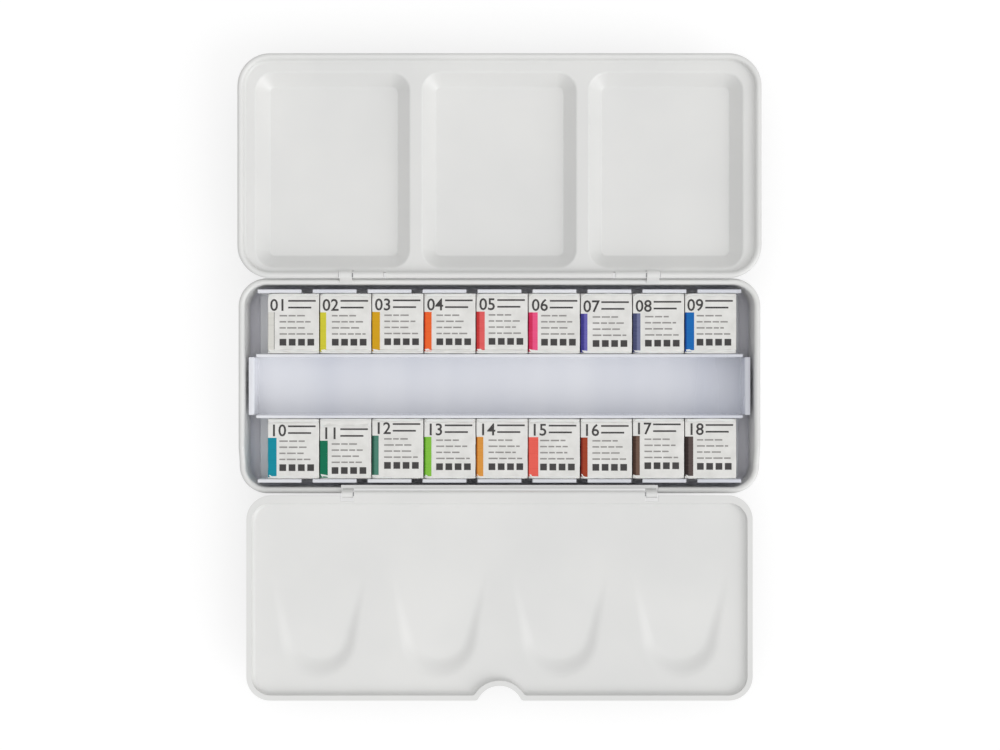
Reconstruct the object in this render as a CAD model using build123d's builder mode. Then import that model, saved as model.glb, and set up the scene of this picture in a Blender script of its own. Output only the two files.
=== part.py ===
from build123d import *
import os
from math import acos, atan2, cos, degrees, hypot, radians, sin, tan

os.makedirs("parts", exist_ok=True)

# Sheet metal and the rolled rims round it
sheet = 0.4
bead_r = 0.95
rim_gap = 0.05

# Wrapped half pans, the standard size that the tin is made round
wrapper_width = 16.1
wrapper_length = 18.85
wrapper_height = 10.0
wrapper_gap = 0.18
paper = 0.15
wrapper_slit = 0.3
wrapper_slit_length = 9.0
cup_clear = 0.05
cup_wall = 0.9
cup_floor = 1.0
cup_corner = 1.6
cup_draft = 3
cup_lip = 0.5
cup_lip_height = 1.2
paint_below_lip = 0.9
back_row = (
    "cream_white",
    "lemon_yellow",
    "indian_yellow",
    "orange",
    "brilliant_red",
    "magenta",
    "ultramarine",
    "prussian_blue",
    "cyan_blue",
)
front_row = (
    "cobalt_turquoise",
    "brilliant_green",
    "dark_green",
    "may_green",
    "yellow_ochre",
    "gold_pink",
    "burnt_sienna",
    "dark_brown",
    "black",
)

# Pan holder, one sheet bent into two rows and a brush channel
holder_gap = 0.05
holder_side_gap = 1.45
holder_end_gap = 0.95
pan_clear = 0.05
rail_width = 1.05
rail_bend = 0.3
channel_half = 9.0
channel_run_on = 1.1
end_lip = 1.3
end_bend_r = 0.5
row_end_space = 2.73
row_shift = 0.8
tongue_count = 9
tongue_space = 3.52
tongue_inset = 0.395
tongue_lip = 0.95

# Base tin
base_corner = 8.7
front_drop = 2.4
ramp_run = 4.8
floor_fillet = 1.5
foot_width = 1.1
foot_rise = 2.4
foot_slope = 45
hem_width = 1.1

# Lid, lying open behind the base
lid_side_reach = 0.1
lid_front_reach = 0.81
lid_corner = 10.2
lid_ledge_drop = 1.2
ledge_fillet = 0.9

# Three mixing wells pressed into the lid, sharp outlines at ledge level
well_side_margin = 5.5
well_far_margin = 5.7
well_near_margin = 3.25
well_ridge = 3.9
well_depth = 4.0
well_corner = 5.7
well_slope = 45
well_foot = 0.8
well_brow = 1.0

# Mixing flap, lying open in front of the base
flap_side_gap = 0.6
flap_end_gap = 1.2
flap_headroom = 0.4
flap_corner = 7.5
flap_hem = 1.6
flap_hem_height = 0.9
flap_hinge_hem = 2.35
flap_recess = 1.8
flap_foot = 1.3
notch_r = 7.4
notch_depth = 4.6
notch_round = 1.2

# Four thumb wells pressed into the flap
thumb_count = 4
thumb_side_margin = 3.45
thumb_start = 28.2
thumb_length = 23.6
thumb_r = 9.0
thumb_mouth = 27.4
thumb_fall = 4.2
thumb_wall_rise = 24
thumb_wall_height = 2.4

# Hinge wires and the sheet rolled round them
pin_r = 0.6
pin_clear = 0.05
knuckle_gap = 0.4
lid_axis_back = 0.94
tab_r = 1.4
tab_inner = 45.7
tab_width = 3.8
lid_knuckle_width = 9.3
lid_knuckle_r = 1.09
lid_slot = 0.8
lid_notch_r = 1.8
barrel_r = 1.15
barrel_half = 45.2
flap_tab_width = 3.4
flap_axis_front = 0.15
flap_notch_depth = 2.1
strap_drop = 3.4

# Heights, from the floor of the tin up through the pans to the rim
floor_top = foot_rise + sheet
holder_z = floor_top + holder_gap
pan_z = holder_z + sheet + pan_clear
lip_top = pan_z + wrapper_height
tongue_top = lip_top - sheet
rim_top = lip_top + flap_headroom + 2 * barrel_r
rim_z = rim_top - bead_r
front_rim_z = rim_z - front_drop
lid_z = rim_top + rim_gap + bead_r
ledge_z = lid_z - lid_ledge_drop
flap_top = rim_top
flap_axis_z = flap_top - barrel_r
panel_z = flap_top - flap_recess

# Widths, from the rows of pans out to the rim, the lid and the flap
rim_width = 2 * bead_r
bend_line = sheet / 2
pan_pitch = wrapper_width + wrapper_gap
holder_half = (len(back_row) * pan_pitch - wrapper_gap) / 2 + row_end_space
tongue_pitch = (2 * (holder_half - tongue_inset) + tongue_space) / tongue_count
channel_end = holder_half + channel_run_on
inner_width = 2 * (channel_end + end_lip + holder_end_gap)
base_width = inner_width + 2 * rim_width
lid_width = base_width + 2 * lid_side_reach
flap_width = inner_width - 2 * flap_side_gap
thumb_pitch = (flap_width - 2 * thumb_side_margin) / thumb_count

# Depths, from the brush channel out to the rim, the lid and the flap
row_inner = channel_half + rail_width + pan_clear
row_outer = row_inner + wrapper_length + pan_clear
row_y = (row_inner + row_outer - pan_clear) / 2
inner_depth = 2 * (row_outer + bend_line + tongue_lip + holder_side_gap)
base_depth = inner_depth + 2 * rim_width
lid_axis_offset = base_depth / 2 + lid_axis_back
lid_depth = lid_axis_back + bead_r + base_depth + lid_front_reach
flap_axis_offset = base_depth / 2 + flap_axis_front
flap_length = flap_axis_offset + inner_depth / 2 - flap_end_gap

# Places, with the open set centred on the origin
lid_far_offset = lid_axis_offset - bead_r + lid_depth
base_y = (flap_axis_offset + flap_length - lid_far_offset) / 2
front_face = base_y - inner_depth / 2 - sheet
lid_axis_y = base_y + lid_axis_offset
lid_y = lid_axis_y - bead_r + lid_depth / 2
flap_edge_back = bead_r / 3
flap_axis_y = base_y - flap_axis_offset
flap_far_y = flap_axis_y - flap_length
flap_near_y = flap_axis_y - flap_edge_back
flap_depth = flap_near_y - flap_far_y
flap_y = (flap_near_y + flap_far_y) / 2
inner_corner = base_corner - rim_width
cut_past = 5.0


def box_between(low, high):
    """A box given by two opposite corners."""
    size = [abs(b - a) for a, b in zip(low, high)]
    middle = [(a + b) / 2 for a, b in zip(low, high)]
    return Pos(*middle) * Box(*size, mode=Mode.PRIVATE)


def rod_along_x(x0, x1, y, z, radius):
    """A round rod parallel to the hinge axes, from x0 to x1."""
    rod = Cylinder(radius, abs(x1 - x0), mode=Mode.PRIVATE)
    return Pos((x0 + x1) / 2, y, z) * Rot(0, 90, 0) * rod


# Base tin
def floor_form(grow):
    """The raised floor panel, its top for grow 0 and its underside for minus a sheet."""
    inset = 2 * (floor_fillet + foot_width) - 2 * grow * tan(radians(foot_slope / 2))
    with BuildPart() as form:
        with BuildSketch(Plane.XY.offset(sheet + grow)):
            with Locations((0, base_y)):
                RectangleRounded(
                    inner_width - inset, inner_depth - inset, inner_corner - inset / 2 + foot_rise
                )
        extrude(amount=foot_rise, taper=foot_slope)
    return form.part


ramp_low = base_y - base_depth / 2 + base_corner + bead_r
ramp_high = ramp_low + ramp_run


def rolled_rim(line):
    """A rolled rim swept along a closed line, as a private part."""
    with BuildPart(mode=Mode.PRIVATE) as rim:
        with BuildSketch(Plane(line @ 0, z_dir=line % 0)):
            Circle(bead_r)
        sweep(path=line, transition=Transition.RIGHT)
    return rim.part


def base_rim_line():
    """The middle line of the rolled rim, which runs lower along the front."""
    half_w = base_width / 2 - bead_r
    back, front = (base_y + side * (base_depth / 2 - bead_r) for side in (1, -1))
    corner = base_corner - bead_r
    with BuildLine(mode=Mode.PRIVATE) as line:
        FilletPolyline(
            (half_w, back, rim_z),
            (-half_w, back, rim_z),
            (-half_w, ramp_high, rim_z),
            (-half_w, ramp_low, front_rim_z),
            (-half_w, front, front_rim_z),
            (half_w, front, front_rim_z),
            (half_w, ramp_low, front_rim_z),
            (half_w, ramp_high, rim_z),
            radius=(corner, corner, rim_width, rim_width, corner, corner, rim_width, rim_width),
            close=True,
        )
    return line.line


def hinge_tab(x0, x1, tube_r, axis_y, axis_z, root_y, root_z, root_r):
    """A tab of the base rolled round a hinge wire, with the strap that carries it."""
    with BuildPart(mode=Mode.PRIVATE) as tab:
        with BuildSketch(Plane.YZ.offset(min(x0, x1))):
            with Locations((axis_y, axis_z)):
                Circle(tube_r)
            with Locations((root_y, root_z)):
                Circle(root_r)
            make_hull()
        extrude(amount=abs(x1 - x0))
    return tab.part


with BuildPart() as base_tin:
    # The deep pressed box
    with BuildSketch():
        with Locations((0, base_y)):
            RectangleRounded(inner_width + 2 * sheet, inner_depth + 2 * sheet, inner_corner + sheet)
    extrude(amount=rim_z)
    fillet(base_tin.faces().sort_by(Axis.Z)[0].edges(), radius=floor_fillet + sheet)
    with BuildPart(mode=Mode.PRIVATE) as hollow:
        with BuildSketch(Plane.XY.offset(sheet)):
            with Locations((0, base_y)):
                RectangleRounded(inner_width, inner_depth, inner_corner)
        extrude(amount=rim_top)
        fillet(hollow.faces().sort_by(Axis.Z)[0].edges(), radius=floor_fillet)
        add(floor_form(0), mode=Mode.SUBTRACT)
    add(hollow.part, mode=Mode.SUBTRACT)
    add(floor_form(-sheet), mode=Mode.SUBTRACT)
    # The wall steps down to the lower front rim
    with BuildSketch(Plane.YZ):
        with BuildLine():
            Polyline(
                (base_y - base_depth, front_rim_z),
                (ramp_low, front_rim_z),
                (ramp_high, rim_z),
                (ramp_high, rim_top + cut_past),
                (base_y - base_depth, rim_top + cut_past),
                close=True,
            )
        make_face()
    extrude(amount=base_width, both=True, mode=Mode.SUBTRACT)
    add(rolled_rim(base_rim_line()))
    # Between the flap's tabs the rim is folded flat into the tin instead
    flap_tab_inner = barrel_half + knuckle_gap
    flap_tab_outer = flap_tab_inner + flap_tab_width
    hem_half = flap_tab_outer + knuckle_gap
    hem_top = front_rim_z + bead_r
    add(
        box_between(
            (-hem_half, base_y - base_depth, front_rim_z - rim_width),
            (hem_half, front_face, rim_top),
        ),
        mode=Mode.SUBTRACT,
    )
    add(
        box_between(
            (-hem_half, front_face, front_rim_z - bead_r),
            (hem_half, front_face + hem_width, hem_top),
        )
    )
    # Tabs rolled round the hinge wires, two for the lid and two for the flap
    tab_outer = tab_inner + tab_width
    back_rim_y = base_y + base_depth / 2 - bead_r
    for side in (-1, 1):
        add(
            hinge_tab(
                side * tab_inner, side * tab_outer, tab_r, lid_axis_y, lid_z,
                back_rim_y, rim_z, bead_r,
            )
        )
        add(
            hinge_tab(
                side * flap_tab_inner, side * flap_tab_outer, barrel_r, flap_axis_y, flap_axis_z,
                front_face + sheet / 2, flap_axis_z - strap_drop, sheet / 2,
            )
        )
    for y, z in ((lid_axis_y, lid_z), (flap_axis_y, flap_axis_z)):
        add(rod_along_x(-base_width, base_width, y, z, pin_r + pin_clear), mode=Mode.SUBTRACT)
base_tin.part.label = "base_tin"
export_step(base_tin.part, "parts/base_tin.step")


# Lid
def pressed_well(width, depth, corner, x, y, z, grow):
    """One mixing well with sloping sides, grown by a sheet for its outside."""
    spread = grow * tan(radians((90 - well_slope) / 2))
    with BuildPart(mode=Mode.PRIVATE) as well:
        with BuildSketch(Plane.XY.offset(z - grow)):
            with Locations((x, y)):
                RectangleRounded(width + 2 * spread, depth + 2 * spread, corner + spread)
        extrude(amount=-well_depth, taper=well_slope)
        fillet(well.faces().sort_by(Axis.Z)[0].edges(), radius=well_foot + grow)
    return well.part


well_row = lid_width - 2 * well_side_margin
well_width = (well_row - 2 * well_ridge) / 3
well_length = lid_depth - well_far_margin - well_near_margin
well_y = lid_axis_y - bead_r + well_near_margin + well_length / 2


def lid_form(grow):
    """The hollow of the lid, for grow 0, or its outside, for a sheet more."""
    with BuildPart(mode=Mode.PRIVATE) as form:
        with BuildSketch(Plane.XY.offset(lid_z)):
            with Locations((0, lid_y)):
                RectangleRounded(
                    lid_width - 2 * rim_width + 2 * grow,
                    lid_depth - 2 * rim_width + 2 * grow,
                    lid_corner - rim_width + grow,
                )
        extrude(amount=-lid_ledge_drop - grow)
        fillet(form.faces().sort_by(Axis.Z)[0].edges(), radius=ledge_fillet + grow)
        for column in (-1, 0, 1):
            x = column * (well_width + well_ridge)
            add(pressed_well(well_width, well_length, well_corner, x, well_y, ledge_z, grow))
        ledge = form.faces().filter_by(Plane.XY).filter_by_position(
            Axis.Z, ledge_z - grow - rim_gap, ledge_z - grow + rim_gap
        )
        brow = [edge for wire in ledge[0].inner_wires() for edge in wire.edges()]
        fillet(brow, radius=well_brow - grow)
    return form.part


with BuildPart() as lid:
    add(lid_form(sheet))
    with BuildSketch(Plane.XY.offset(lid_z)) as lid_rim_line:
        with Locations((0, lid_y)):
            RectangleRounded(
                lid_width - rim_width, lid_depth - rim_width, lid_corner - bead_r
            )
    add(rolled_rim(lid_rim_line.sketch.face().outer_wire()))
    add(lid_form(0), mode=Mode.SUBTRACT)
    lid_knuckle_outer = tab_inner - knuckle_gap
    lid_knuckle_inner = lid_knuckle_outer - lid_knuckle_width
    for side in (-1, 1):
        inner, outer = side * lid_knuckle_inner, side * lid_knuckle_outer
        add(rod_along_x(inner, outer, lid_axis_y, lid_z, lid_knuckle_r))
        add(
            rod_along_x(
                side * (tab_inner - knuckle_gap), side * (tab_outer + knuckle_gap),
                lid_axis_y, lid_z, lid_notch_r,
            ),
            mode=Mode.SUBTRACT,
        )
        add(
            rod_along_x(inner - side * lid_slot, inner, lid_axis_y, lid_z, lid_knuckle_r + pin_clear),
            mode=Mode.SUBTRACT,
        )
        add(
            rod_along_x(
                inner - side * lid_slot, outer, lid_axis_y, lid_z, pin_r + pin_clear
            ),
            mode=Mode.SUBTRACT,
        )
lid.part.label = "lid"
export_step(lid.part, "parts/lid.step")


# Mixing flap
def flap_outline(inset, hinge_inset, corner_round):
    """The flap's outline with its finger notch, moved inwards by an inset."""
    with BuildSketch(Plane.XY.offset(flap_top), mode=Mode.PRIVATE) as outline:
        depth = flap_depth - inset - hinge_inset
        with Locations((0, flap_y + (inset - hinge_inset) / 2)):
            RectangleRounded(flap_width - 2 * inset, depth, flap_corner - inset)
        with Locations((0, flap_far_y + notch_depth - notch_r)):
            Circle(notch_r + inset, mode=Mode.SUBTRACT)
        edge_y = flap_far_y + inset
        tips = outline.vertices().filter_by_position(Axis.Y, edge_y - sheet, edge_y + sheet)
        fillet(tips.sort_by(lambda v: abs(v.X))[:2], radius=corner_round)
    return outline.sketch


def thumb_outline(plane, spread):
    """A thumb well's U, drawn on a plane that falls towards the free edge."""
    reach_y, mouth_half = thumb_length - thumb_r, thumb_mouth / 2
    flare = degrees(atan2(reach_y, mouth_half) - acos(thumb_r / hypot(reach_y, mouth_half)))
    radius = thumb_r + spread
    run = thumb_length
    along = Vector(-sin(radians(flare)), cos(radians(flare))) * run
    centre = Vector(0, -reach_y)
    right = centre + Vector(cos(radians(flare)), sin(radians(flare))) * radius
    left = Vector(-right.X, right.Y)
    with BuildSketch(plane, mode=Mode.PRIVATE) as outline:
        with BuildLine():
            ThreePointArc(left, centre + Vector(0, -radius), right)
            Line(right, right + along)
            Line(right + along, (-(right + along).X, (right + along).Y))
            Line((-(right + along).X, (right + along).Y), left)
        make_face()
    return outline.sketch


def thumb_well(x, grow):
    """One thumb well: a sloping floor with a softly rising wall round it."""
    start = Vector(x, flap_near_y - thumb_start, panel_z)
    fall = radians(thumb_fall)
    up = Vector(0, -sin(fall), cos(fall))
    spread = grow * tan(radians(thumb_wall_rise / 2))
    out = thumb_wall_height / tan(radians(thumb_wall_rise))
    low = Plane(start - up * grow, x_dir=(1, 0, 0), z_dir=up)
    with BuildPart(mode=Mode.PRIVATE) as well:
        add(thumb_outline(low, spread))
        add(thumb_outline(low.offset(thumb_wall_height), spread + out))
        loft(ruled=True)
    return well.part


def flap_form(grow):
    """The flap's recess and thumb wells, for grow 0, or their underside."""
    with BuildPart(mode=Mode.PRIVATE) as form:
        add(flap_outline(flap_hem - grow, flap_hinge_hem - grow, notch_round))
        extrude(amount=-flap_recess - grow)
        fillet(form.faces().sort_by(Axis.Z)[0].edges(), radius=flap_foot + grow)
    wells = form.part
    for index in range(thumb_count):
        x = (index - (thumb_count - 1) / 2) * thumb_pitch
        dish = thumb_well(x, grow)
        keep = box_between(
            (-flap_width, flap_far_y, 0), (flap_width, flap_near_y, panel_z - grow + sheet / 4)
        )
        wells = wells + (dish & keep)
    return wells


with BuildPart() as mixing_flap:
    add(flap_outline(0, 0, notch_round))
    extrude(amount=-flap_hem_height)
    add(flap_form(sheet))
    add(rod_along_x(-barrel_half, barrel_half, flap_axis_y, flap_axis_z, barrel_r))
    add(
        box_between(
            (-barrel_half, flap_near_y - flap_hinge_hem, flap_top - sheet),
            (barrel_half, flap_axis_y, flap_top),
        )
    )
    add(flap_form(0), mode=Mode.SUBTRACT)
    for side in (-1, 1):
        add(
            box_between(
                (side * barrel_half, flap_axis_y - flap_notch_depth, flap_axis_z - cut_past),
                (side * (flap_tab_outer + knuckle_gap), flap_axis_y + cut_past, flap_top + cut_past),
            ),
            mode=Mode.SUBTRACT,
        )
    add(
        rod_along_x(-flap_width, flap_width, flap_axis_y, flap_axis_z, pin_r + pin_clear),
        mode=Mode.SUBTRACT,
    )
mixing_flap.part.label = "mixing_flap"
export_step(mixing_flap.part, "parts/mixing_flap.step")


# Hinge wires
with BuildPart() as lid_hinge_pins:
    for side in (-1, 1):
        add(
            rod_along_x(
                side * (lid_knuckle_inner + pin_clear), side * tab_outer, lid_axis_y, lid_z, pin_r
            )
        )
lid_hinge_pins.part.label = "lid_hinge_pins"
export_step(lid_hinge_pins.part, "parts/lid_hinge_pins.step")

with BuildPart() as flap_hinge_pin:
    add(rod_along_x(-flap_tab_outer, flap_tab_outer, flap_axis_y, flap_axis_z, pin_r))
flap_hinge_pin.part.label = "flap_hinge_pin"
export_step(flap_hinge_pin.part, "parts/flap_hinge_pin.step")


# Pan holder
def holder_section(side):
    """Half of the bent sheet's middle line, from the channel out to a tongue's lip."""
    floor = holder_z + bend_line
    inside, outside = channel_half + bend_line, channel_half + rail_width - bend_line
    rail = lip_top - bend_line
    wall = row_outer + bend_line
    return [
        (base_y + side * inside, floor),
        (base_y + side * inside, rail),
        (base_y + side * outside, rail),
        (base_y + side * outside, floor),
        (base_y + side * wall, floor),
        (base_y + side * wall, tongue_top - bend_line),
        (base_y + side * (wall + tongue_lip), tongue_top - bend_line),
    ]


with BuildPart() as pan_holder:
    with BuildSketch(Plane.YZ):
        with BuildLine() as bends:
            FilletPolyline(*reversed(holder_section(-1)), *holder_section(1), radius=rail_bend)
        trace(bends.line, line_width=sheet)
    extrude(amount=holder_half, both=True)
    # Tongues are what is left between the gaps cut in both long walls
    for index in range(tongue_count + 1):
        x = (index - tongue_count / 2) * tongue_pitch
        for side in (-1, 1):
            add(
                box_between(
                    (x - tongue_space / 2, base_y + side * (row_outer - rail_bend), holder_z - cut_past),
                    (x + tongue_space / 2, base_y + side * (row_outer + cut_past), lip_top + cut_past),
                ),
                mode=Mode.SUBTRACT,
            )
    # The channel's floor runs on and turns up into a lipped end
    for side in (-1, 1):
        with BuildSketch(Plane.XZ.offset(-base_y + channel_half)) as end_section:
            with BuildLine() as end_bend:
                FilletPolyline(
                    (side * (holder_half - cut_past), holder_z + bend_line),
                    (side * (channel_end - bend_line), holder_z + bend_line),
                    (side * (channel_end - bend_line), tongue_top - bend_line),
                    (side * (channel_end + end_lip), tongue_top - bend_line),
                    radius=end_bend_r,
                )
            trace(end_bend.line, line_width=sheet)
        extrude(amount=-2 * channel_half)
pan_holder.part.label = "pan_holder"
export_step(pan_holder.part, "parts/pan_holder.step")


# Half pans: a paper wrapper round a moulded cup filled with paint
def wrapper_solid(x, y):
    """A folded paper wrapper, open along the slit where its end folds meet."""
    with BuildPart(mode=Mode.PRIVATE) as skin:
        with Locations((x, y, pan_z + wrapper_height / 2)):
            Box(wrapper_width, wrapper_length, wrapper_height)
            Box(
                wrapper_width - 2 * paper, wrapper_length - 2 * paper, wrapper_height - 2 * paper,
                mode=Mode.SUBTRACT,
            )
            Box(
                wrapper_slit_length, wrapper_length + cut_past, wrapper_slit, mode=Mode.SUBTRACT
            )
    return skin.part


cup_width = wrapper_width - 2 * (paper + cup_clear)
cup_length = wrapper_length - 2 * (paper + cup_clear)
cup_height = wrapper_height - 2 * (paper + cup_clear)
cup_z = pan_z + paper + cup_clear
cavity_depth = cup_height - cup_floor


def cup_cavity(x, y):
    """The hollow of a cup, which narrows towards its floor."""
    with BuildPart(mode=Mode.PRIVATE) as cavity:
        with BuildSketch(Plane.XY.offset(cup_z + cup_height)):
            with Locations((x, y)):
                RectangleRounded(
                    cup_width - 2 * cup_wall, cup_length - 2 * cup_wall, cup_corner - cup_wall / 2
                )
        extrude(amount=-cavity_depth, taper=cup_draft)
    return cavity.part


def cup_solid(x, y):
    """A moulded half pan with a lip round its top."""
    with BuildPart(mode=Mode.PRIVATE) as cup:
        with BuildSketch(Plane.XY.offset(cup_z + cup_height - cup_lip_height)):
            with Locations((x, y)):
                RectangleRounded(cup_width, cup_length, cup_corner)
        extrude(amount=cup_lip_height)
        with BuildSketch(Plane.XY.offset(cup_z + cup_height - cup_lip_height)):
            with Locations((x, y)):
                RectangleRounded(
                    cup_width - 2 * cup_lip, cup_length - 2 * cup_lip, cup_corner - cup_lip / 2
                )
        extrude(amount=-(cup_height - cup_lip_height), taper=cup_draft / 2)
        add(cup_cavity(x, y), mode=Mode.SUBTRACT)
    return cup.part


def paint_solid(x, y):
    """The cake of paint poured into a cup, with a level top below the lip."""
    with BuildPart(mode=Mode.PRIVATE) as cake:
        add(cup_cavity(x, y))
        split(bisect_by=Plane.XY.offset(cup_z + cup_height - paint_below_lip), keep=Keep.BOTTOM)
    return cake.part


for side, row in ((1, back_row), (-1, front_row)):
    for index, colour in enumerate(row):
        x = row_shift + (index - (len(row) - 1) / 2) * pan_pitch
        y = base_y + side * row_y
        for name, solid in (
            ("wrapper", wrapper_solid(x, y)),
            ("half_pan", cup_solid(x, y)),
            ("paint", paint_solid(x, y)),
        ):
            with BuildPart() as piece:
                add(solid)
            piece.part.label = f"{name}_{colour}"
            export_step(piece.part, f"parts/{name}_{colour}.step")
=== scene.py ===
from math import acos, atan2, cos, hypot, radians, sin, tan

import bmesh
import bpy
from bpy.props import FloatProperty, FloatVectorProperty, IntProperty, PointerProperty
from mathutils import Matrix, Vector, noise


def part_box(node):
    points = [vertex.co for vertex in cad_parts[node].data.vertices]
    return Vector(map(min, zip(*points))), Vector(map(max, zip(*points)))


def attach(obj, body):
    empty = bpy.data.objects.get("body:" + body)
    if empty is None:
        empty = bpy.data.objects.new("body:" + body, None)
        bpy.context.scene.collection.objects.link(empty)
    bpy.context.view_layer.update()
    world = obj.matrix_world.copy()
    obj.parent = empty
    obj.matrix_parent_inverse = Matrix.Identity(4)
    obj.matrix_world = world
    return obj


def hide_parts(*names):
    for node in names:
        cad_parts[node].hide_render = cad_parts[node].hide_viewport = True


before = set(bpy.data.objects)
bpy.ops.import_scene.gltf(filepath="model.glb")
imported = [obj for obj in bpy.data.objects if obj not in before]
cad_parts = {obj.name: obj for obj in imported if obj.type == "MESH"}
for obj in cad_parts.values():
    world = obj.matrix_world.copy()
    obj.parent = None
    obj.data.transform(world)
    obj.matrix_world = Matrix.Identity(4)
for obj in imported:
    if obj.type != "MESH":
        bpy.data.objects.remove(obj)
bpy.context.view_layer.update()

bl_info = {
    "name": "Watercolour Tin",
    "version": (1, 0, 0),
    "blender": (4, 5, 0),
    "location": "3D View > Sidebar > Paint Tin",
    "description": "Dresses a folding tin of wrapped half pans in enamel, lacquer and paper",
    "category": "Object",
}

MM = 0.001
# How far the roughness of a sprayed coating wanders over its surface
ROUGHNESS_SWAY = 0.12

# Name, strip colour, strip width, slip of the print and width of the strip's painted shade
# where it turns over the edge, in mm and in the order of the numbers printed on the wrappers
BACK_ROW = (
    ("cream_white", (0.87, 0.865, 0.84), 2.0, 0.0, 0.0),
    ("lemon_yellow", (0.83, 0.80, 0.22), 2.0, 0.0, 0.0),
    ("indian_yellow", (0.84, 0.64, 0.08), 2.5, 0.15, 0.0),
    ("orange", (0.94, 0.40, 0.17), 2.35, 0.15, 0.4),
    ("brilliant_red", (0.90, 0.38, 0.38), 2.65, 0.25, 1.0),
    ("magenta", (0.94, 0.34, 0.53), 2.9, 0.0, 1.3),
    ("ultramarine", (0.41, 0.39, 0.70), 2.15, -0.4, 1.1),
    ("prussian_blue", (0.45, 0.47, 0.61), 2.4, -0.3, 1.3),
    ("cyan_blue", (0.08, 0.42, 0.72), 2.9, 0.0, 0.5),
)
FRONT_ROW = (
    ("cobalt_turquoise", (0.02, 0.56, 0.64), 2.8, -0.1, 0.0),
    ("brilliant_green", (0.02, 0.45, 0.32), 2.5, -1.0, 0.0),
    ("dark_green", (0.30, 0.52, 0.45), 2.1, 0.6, 0.7),
    ("may_green", (0.52, 0.77, 0.26), 2.3, 0.2, 0.5),
    ("yellow_ochre", (0.88, 0.60, 0.26), 2.2, 0.2, 0.4),
    ("gold_pink", (0.93, 0.39, 0.34), 3.1, 0.1, 0.0),
    ("burnt_sienna", (0.64, 0.25, 0.14), 2.2, 0.0, 0.6),
    ("dark_brown", (0.44, 0.34, 0.29), 2.2, 0.5, 1.0),
    ("black", (0.35, 0.30, 0.29), 2.6, 0.3, 1.1),
)


def linear(colour):
    """A colour as the eye reads it on a screen, turned into the light that it gives off."""
    return tuple(c / 12.92 if c <= 0.04045 else ((c + 0.055) / 1.055) ** 2.4 for c in colour)


def lit(colour, share):
    """A colour at a share of its light."""
    return tuple(c * share for c in colour)


def colour_property(name, description, default):
    """A colour that a user can pick, stored as linear light."""
    return FloatVectorProperty(
        name=name, description=description, subtype="COLOR", size=3, min=0, max=1,
        default=linear(default),
    )


def size_property(name, description, millimetres):
    """A length that a user can set, in metres."""
    return FloatProperty(
        name=name, description=description, subtype="DISTANCE", unit="LENGTH", min=0,
        default=millimetres * MM, precision=5,
    )


def angle_property(name, description, degrees):
    """An angle that a user can set."""
    return FloatProperty(
        name=name, description=description, subtype="ANGLE", unit="ROTATION",
        default=radians(degrees),
    )


class TinFinish(bpy.types.PropertyGroup):
    """Colours and gloss of the metal parts."""

    enamel: colour_property(
        "Enamel", "White stoving enamel of tin, lid and flap", (0.918, 0.918, 0.911)
    )
    enamel_shade: colour_property(
        "Enamel shade", "The slightly greyer cast of thin enamel", (0.897, 0.898, 0.893)
    )
    # Lilac-grey lacquer, kept lighter than the enamel as painted light on the deep floor inside the
    # tin
    inside: colour_property(
        "Inside", "Lilac-grey lacquer on the floor inside the tin", (0.94, 0.94, 0.965)
    )
    lacquer: colour_property("Lacquer", "Pale lacquer of the pan holder", (0.94, 0.944, 0.96))
    # Darker bands that, with the lacquer's own colour, paint streaks of reflected light along the
    # holder
    lacquer_painted_streak: colour_property(
        "Lacquer painted streak", "The cooler bands in the lacquer", (0.86, 0.87, 0.905)
    )
    wire: colour_property("Wire", "Drawn steel of the hinge wires", (0.70, 0.70, 0.71))
    gloss: FloatProperty(
        name="Enamel roughness", description="Roughness of the enamel, lower is glossier",
        subtype="FACTOR", min=0, max=1, default=0.34,
    )


class PaperFinish(bpy.types.PropertyGroup):
    """Sizes and colours of the printed paper wrappers."""

    paper: colour_property("Paper", "Coated label paper", (0.93, 0.927, 0.915))
    paper_shade: colour_property(
        "Paper shade", "Thinner, greyer places in the paper", (0.875, 0.872, 0.858)
    )
    ink: colour_property("Ink", "Dark printing ink", (0.20, 0.19, 0.19))
    pale_ink: colour_property("Pale ink", "Grey ink of the broken rules", (0.56, 0.55, 0.54))
    edge_round: size_property("Edge rounding", "How softly the paper turns over an edge", 0.24)
    ripple: size_property("Ripple", "Depth of the waves over the label", 0.13)
    fold_line: size_property(
        "Fold line", "Distance of the end fold's crease from the wrapper's end", 0.95
    )
    fold_depth: size_property("Fold depth", "Depth of the crease along the end fold", 0.62)
    corner_crush: size_property("Corner crush", "How far the crumpled corners are pushed in", 0.8)
    strip_top: size_property("Strip top", "Distance of the colour strip from the far edge", 5.95)
    strip_length: size_property("Strip length", "Length of the colour strip", 12.3)


class ThumbWellSizes(bpy.types.PropertyGroup):
    """Sizes of the soft thumb wells pressed into the mixing flap."""

    count: IntProperty(
        name="Wells", description="Number of thumb wells in the row", min=1, default=4
    )
    pitch: size_property("Pitch", "Distance from one well's middle to the next", 37.6)
    start: size_property(
        "Mouth place", "Distance of the wells' mouths from the flap's free edge", 35.53
    )
    length: size_property("Length", "Length of a well's floor", 23.6)
    radius: size_property("Radius", "Radius of the round end of a floor", 9.0)
    mouth: size_property("Mouth", "Width of a floor at its mouth", 27.4)
    fall: angle_property("Fall", "Slope of a floor towards the free edge", 4.2)
    rise: angle_property("Rise", "Slope of the wall round a floor", 25.5)
    softness: size_property("Softness", "How softly the sheet is drawn over each bend", 0.5)
    recess: size_property("Recess", "Depth of the flap's panel below its hem", 1.8)
    sheet: size_property("Sheet", "Thickness of the flap's sheet", 0.4)


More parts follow.
